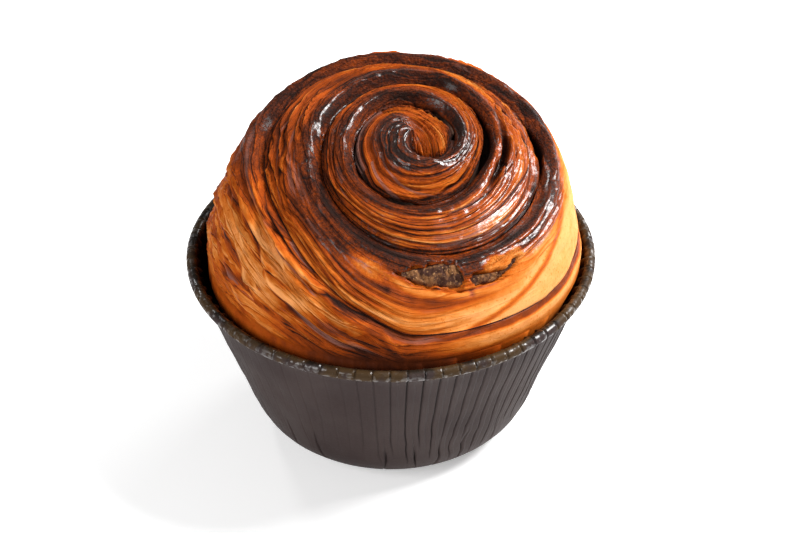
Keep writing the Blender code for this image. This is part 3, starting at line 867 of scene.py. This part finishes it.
def crust_material():
    material, tree, shader = new_material("glazed_crust", Specular_IOR_Level=0.04, Coat_Roughness=0.2)
    place = add_node(tree, "ShaderNodeTexCoord", {}, {}, "Object")
    strip = add_node(tree, "ShaderNodeUVMap", {"uv_map": "UVMap"}, {})
    baked_and_shaded, specked = attribute(tree, "bake_and_shade"), attribute(tree, "speck")
    glazed, crumbed = attribute(tree, "gloss"), attribute(tree, "crumb")

    def stretched(along, across):
        scale = (along, across, 1)
        return add_node(tree, "ShaderNodeVectorMath", {"operation": "MULTIPLY"}, {0: strip, 1: scale})

    long_streak = noise(tree, stretched(0.06, 0.9), 1.0, 3, 0.6)
    thin_streak = noise(tree, stretched(0.30, 2.4), 1.0, 4, 0.7)
    hair = noise(tree, stretched(0.13, 1.5), 1.0, 2, 0.5)
    line = 1 - ((hair - 0.5).math("ABSOLUTE") * 14).math("MINIMUM", 1.0)
    mottle = noise(tree, place, 420, 3, 0.6)
    pebble = noise(tree, place, 1500, 2, 0.6)
    grain = noise(tree, place, 3000, 2, 0.6)
    wild = 1 - crumbed
    calm_here, run, shining = attribute(tree, "calm"), attribute(tree, "run"), attribute(tree, "shine")

    def layer_look(name, length, seed):
        """Tone, raised edge and crease of each layer, from its place among the layers."""
        among = attribute(tree, name)
        number, saw = among.math("FLOOR"), among.math("FRACT")
        spot = add_node(tree, "ShaderNodeCombineXYZ", {}, {0: run / length, 1: number * 3.7 + seed})
        tone = noise(tree, spot, 1.0, 1)
        vary = noise(tree, spot, 2.3, 1).ramp(0.36, 0.50)
        rim = (1 - (saw - 0.84).math("ABSOLUTE") / 0.10).math("MAXIMUM", 0.0)
        crease = (1 - (0.5 - (saw - 0.5).math("ABSOLUTE")) / 0.11).math("MAXIMUM", 0.0)
        return (tone - 0.5) * 2, rim * vary, crease * vary

    fold_tone, fold_rim, fold_crease = layer_look("fold", 16, 0.5)
    ridge_tone, ridge_rim, ridge_crease = layer_look("ridge", 9, 100.5)
    layer_tone, layer_rim, layer_crease = layer_look("layer", 6, 200.5)
    layer_marks_and_shade = fold_tone * 0.14 + ridge_tone * 0.36 + layer_tone * 0.32
    # Creases are darker, partly browned and partly painted shade, and raised edges paler
    layer_marks_and_shade = layer_marks_and_shade + fold_crease * 0.26 + ridge_crease * 0.30 + layer_crease * 0.20
    layer_marks_and_shade = layer_marks_and_shade - fold_rim * 0.18 - ridge_rim * 0.18 - layer_rim * 0.12
    streaky = wild * (0.07 + calm_here.math("MINIMUM", 1.0) * 0.88)
    level = baked_and_shaded + layer_marks_and_shade * calm_here * wild + (thin_streak - 0.5) * 0.44 * streaky + (mottle - 0.5) * 0.24
    level = level - line * streaky * 0.06 + (pebble - 0.5) * specked * 0.46 + (grain - 0.5) * 0.5 * crumbed
    level = level + pebble.ramp(0.58, 0.70) * (1 - baked_and_shaded.ramp(0.1, 0.35)) * 0.16
    stops = [
        (0.00, (0.74, 0.30, 0.095)),
        (0.16, (0.61, 0.198, 0.038)),
        (0.34, (0.48, 0.108, 0.010)),
        (0.50, (0.355, 0.060, 0.005)),
        (0.64, (0.22, 0.036, 0.004)),
        (0.78, (0.105, 0.021, 0.006)),
        (0.90, (0.040, 0.010, 0.005)),
        (1.00, (0.016, 0.007, 0.005)),
    ]
    colour = add_node(tree, "ShaderNodeValToRGB", {"stops": stops}, {"Fac": level}, "Color")
    # A painted mauve sheen on some strands: a painted reflection on dark glaze
    painted_mauve_sheen = noise(tree, stretched(0.04, 0.5), 1.0, 2).ramp(0.60, 0.68)
    painted_mauve_sheen = painted_mauve_sheen * calm_here * wild * baked_and_shaded.ramp(0.30, 0.42)
    colour = mixed(painted_mauve_sheen * 0.65, colour, (0.21, 0.095, 0.075))
    rims = ridge_rim + fold_rim + layer_rim * 0.5 - ridge_crease - fold_crease * 1.5 - layer_crease * 0.5
    streak_relief = bump(tree, (thin_streak + rims * 0.5) * streaky + long_streak * 0.3, 0.6 * MM)
    rough = (pebble + grain * 0.3) * (0.15 + specked * 0.85)
    pebble_relief = bump(tree, rough + grain * crumbed, 0.55 * MM, streak_relief)
    feed(
        tree,
        shader,
        Base_Color=colour,
        Roughness=0.72 - glazed * 0.42 + (mottle - 0.5) * 0.3 + crumbed * 0.2,
        Coat_Weight=shining * (shining * 0.4 + pebble.ramp(0.40, 0.60) * 0.65),
        Normal=pebble_relief,
    )
    return material


dough = add_object("baked_dough_coil", coil_mesh())
dough.data.materials.append(crust_material())
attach(dough, "root")
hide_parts("dough_coil")


# The filling between the turns
# A sheet of dark cinnamon paste that was rolled up with the dough. Its upper edge shows as a lumpy dark line
# at the bottom of each groove, and sinks out of sight where a groove gapes.

def finished_mesh(name, coords, faces):
    mesh = bpy.data.meshes.new(name)
    mesh.from_pydata(coords.tolist(), [], faces)
    face_outwards(mesh)
    mesh.shade_smooth()
    return mesh


def filling_mesh():
    step, margin = 1 / 280, 1 / 30
    phi = np.arange(SLOT_FIRST + margin, SLOT_LAST - margin, step)
    azimuth = COIL_START + TURN * phi
    near, half = groove_reach(phi), slot_half_width(phi)
    deep = groove_depth(phi, near, azimuth)
    sides = [on_dome(near + side * half, azimuth, -deep) for side in (-1, 1)]
    along = np.cumsum(TURN * near * step)
    lumpy = streaks(along / 2.2, 0.5 + 0 * along, 31) * 0.5 + streaks(along / 6, 0.5 + 0 * along, 32) * 0.5
    parted = smooth((lip_gap(phi) - LIP_GAP) / 0.5)
    proud = 0.3 * parted - 2.2 * (1 - parted) + 1.2 * (lumpy - 0.5) - 1.2 * gape(phi)
    fall = np.linalg.norm(sides[0] - into_slot(sides[0], 1.0), axis=-1)
    rings = []
    for number, share in enumerate((-proud / fall, -proud / fall * 0.3, 0.3 + 0 * fall, 0.97 + 0 * fall)):
        walls = [into_slot(side, share[:, None]) for side in sides]
        gap = 0.35 / np.linalg.norm(walls[1] - walls[0], axis=-1)[:, None]
        gap = gap * (1.9 if number == 0 else 1.0)
        rings.append([walls[0] + (walls[1] - walls[0]) * gap, walls[1] + (walls[0] - walls[1]) * gap])
    left, right = [ring[0] for ring in rings], [ring[1] for ring in rings]
    order = [left[0], *right, *left[:0:-1]]
    coords = np.stack(order, 1).reshape(-1, 3) * MM
    count = len(order)
    faces = []
    for station in range(len(phi) - 1):
        a, b = count * station, count * (station + 1)
        for corner in range(count):
            after = (corner + 1) % count
            faces.append([a + corner, a + after, b + after, b + corner])
    faces.append(list(range(count))[::-1])
    faces.append(list(range(len(coords) - count, len(coords))))
    return finished_mesh("filling_sheet", coords, faces)


def filling_material():
    material, tree, shader = new_material("cinnamon_paste", Specular_IOR_Level=0.15)
    place = add_node(tree, "ShaderNodeTexCoord", {}, {}, "Object")
    grain = noise(tree, place, 1600, 3, 0.65)
    clot = noise(tree, place, 500, 2)
    dark = mixed(clot.ramp(0.35, 0.65), (0.014, 0.006, 0.004), (0.040, 0.016, 0.008))
    feed(
        tree,
        shader,
        Base_Color=mixed(grain.ramp(0.62, 0.75), dark, (0.10, 0.045, 0.02)),
        Roughness=0.35 + grain * 0.4,
        Normal=bump(tree, grain + clot, 0.3 * MM),
    )
    return material


filling = add_object("filling_sheet", filling_mesh())
filling.data.materials.append(filling_material())
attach(filling, "root")
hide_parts("cinnamon_filling")


# The filling in the tear
# Where the crust has split under the front crest, the filling and the open crumb show: dark brown, dry and
# grainy, with paler crumbs.

CRUMB_COLUMNS, CRUMB_ROWS = 90, 24
CRUMB_MARGIN = 0.012
CRUMB_BOTTOM = 3.0


def torn_mesh():
    phi = np.linspace(TEAR_START + CRUMB_MARGIN, TEAR_END - CRUMB_MARGIN, CRUMB_COLUMNS)[:, None]
    across = np.linspace(-1, 1, CRUMB_ROWS)[None, :]
    azimuth = COIL_START + TURN * phi
    near = groove_reach(phi)
    wide = groove_reach(phi + 1) - near
    round_end = np.sin(np.clip((phi - TEAR_START) / (TEAR_END - TEAR_START), 0, 1) * math.pi) ** 0.5
    reach = near + tear_middle(phi) + across * tear_half(phi) * 0.85 * round_end
    along = near * azimuth
    deep = groove_depth(phi, near, azimuth)
    share = np.clip((reach - near - LIP_REACH) / (wide - LIP_REACH), 0, 1)
    crust_level = np.interp(share, FLANK_SHARES, FLANK_HEIGHTS) * deep
    lumps = streaks(along / 1.3, reach / 1.1, 41) + 0.6 * streaks(along / 0.6, reach / 0.6, 42)
    edge_fall = smooth((1 - np.abs(across)) / 0.35)
    top = crust_level - TEAR_DEPTH + edge_fall * (0.9 + 0.8 * (lumps - 0.8))
    upper = on_dome(reach, azimuth + 0 * reach, top)
    lower = on_dome(reach, azimuth + 0 * reach, crust_level - CRUMB_BOTTOM)
    coords = np.concatenate([upper.reshape(-1, 3), lower.reshape(-1, 3)]) * MM
    faces = []
    base = CRUMB_COLUMNS * CRUMB_ROWS
    for i in range(CRUMB_COLUMNS - 1):
        for j in range(CRUMB_ROWS - 1):
            a = i * CRUMB_ROWS + j
            b, c, d = a + 1, a + CRUMB_ROWS + 1, a + CRUMB_ROWS
            faces.append([a, b, c, d])
            faces.append([base + d, base + c, base + b, base + a])
    rim = list(range(CRUMB_ROWS)) + [i * CRUMB_ROWS - 1 for i in range(2, CRUMB_COLUMNS + 1)]
    rim += [base - CRUMB_ROWS + j for j in range(CRUMB_ROWS - 2, -1, -1)]
    rim += [i * CRUMB_ROWS for i in range(CRUMB_COLUMNS - 2, 0, -1)]
    for a, b in zip(rim, rim[1:] + rim[:1]):
        faces.append([a, base + a, base + b, b])
    return finished_mesh("torn_crumb", coords, faces)


def torn_material():
    material, tree, shader = new_material("torn_crumb", Specular_IOR_Level=0.1)
    place = add_node(tree, "ShaderNodeTexCoord", {}, {}, "Object")
    grain = noise(tree, place, 1900, 3, 0.7)
    clot = noise(tree, place, 430, 3, 0.6)
    dark = mixed(clot.ramp(0.42, 0.60), (0.050, 0.020, 0.013), (0.21, 0.092, 0.036))
    feed(
        tree,
        shader,
        Base_Color=mixed(grain.ramp(0.58, 0.72), dark, (0.58, 0.32, 0.14)),
        Roughness=0.6 + grain * 0.3,
        Normal=bump(tree, grain + clot, 0.45 * MM),
    )
    return material


torn = add_object("torn_crumb", torn_mesh())
torn.data.materials.append(torn_material())
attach(torn, "root")
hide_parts("torn_filling")


# Floor, light and camera
# A plain white floor in white surroundings, and four soft lights: the strongest from the right above, a wide
# one from the front left, and two weak ones from behind that edge the coil and the case.

FLOOR_SIZE = 6.0
edge = FLOOR_SIZE / 2
floor_corners = [(-edge, -edge, 0), (edge, -edge, 0), (edge, edge, 0), (-edge, edge, 0)]
floor_mesh = bpy.data.meshes.new("floor")
floor_mesh.from_pydata(floor_corners, [], [(0, 1, 2, 3)])
floor = add_object("floor", floor_mesh)
floor.location.z = -0.1 * MM
floor_material, *_ = new_material(
    "floor",
    Base_Color=(0.9, 0.9, 0.9, 1),
    Roughness=0.7,
    Emission_Color=(1, 1, 1, 1),
    Emission_Strength=0.35,
)
floor_mesh.materials.append(floor_material)

world = bpy.data.worlds.new("surroundings")
world.use_nodes = True
background = world.node_tree.nodes["Background"]
background.inputs["Color"].default_value = (1, 1, 1, 1)
background.inputs["Strength"].default_value = 0.18
bpy.context.scene.world = world

AIM = Vector((2.24, 0, 41.97)) * MM


def soft_light(name, direction, distance, size, power):
    light = bpy.data.lights.new(name, "AREA")
    light.shape = "DISK"
    light.size = size
    light.energy = power
    lamp = add_object(name, light)
    way = Vector(direction).normalized()
    lamp.location = AIM + way * distance
    lamp.rotation_euler = way.to_track_quat("Z", "Y").to_euler()


soft_light("key", (0.64, 0.15, 0.75), 0.75, 0.40, 12.6)
soft_light("back_right", (0.5, 0.8, 0.38), 0.8, 0.3, 2.2)
soft_light("back_left", (-0.45, 0.6, 0.6), 0.8, 0.10, 0.8)
soft_light("front_left", (-0.6, -0.6, 0.5), 0.9, 0.6, 6.0)

ELEVATION = math.radians(36.51)
DISTANCE = 0.6
LENS, SENSOR = 110.0, 36.0
camera_data = bpy.data.cameras.new("camera")
camera_data.lens = LENS
camera_data.sensor_width = SENSOR
camera = add_object("camera", camera_data)
back = Vector((0, -math.cos(ELEVATION), math.sin(ELEVATION)))
camera.location = AIM + back * DISTANCE
camera.rotation_euler = back.to_track_quat("Z", "Y").to_euler()
bpy.context.scene.camera = camera
bpy.context.scene.view_settings.view_transform = "Standard"
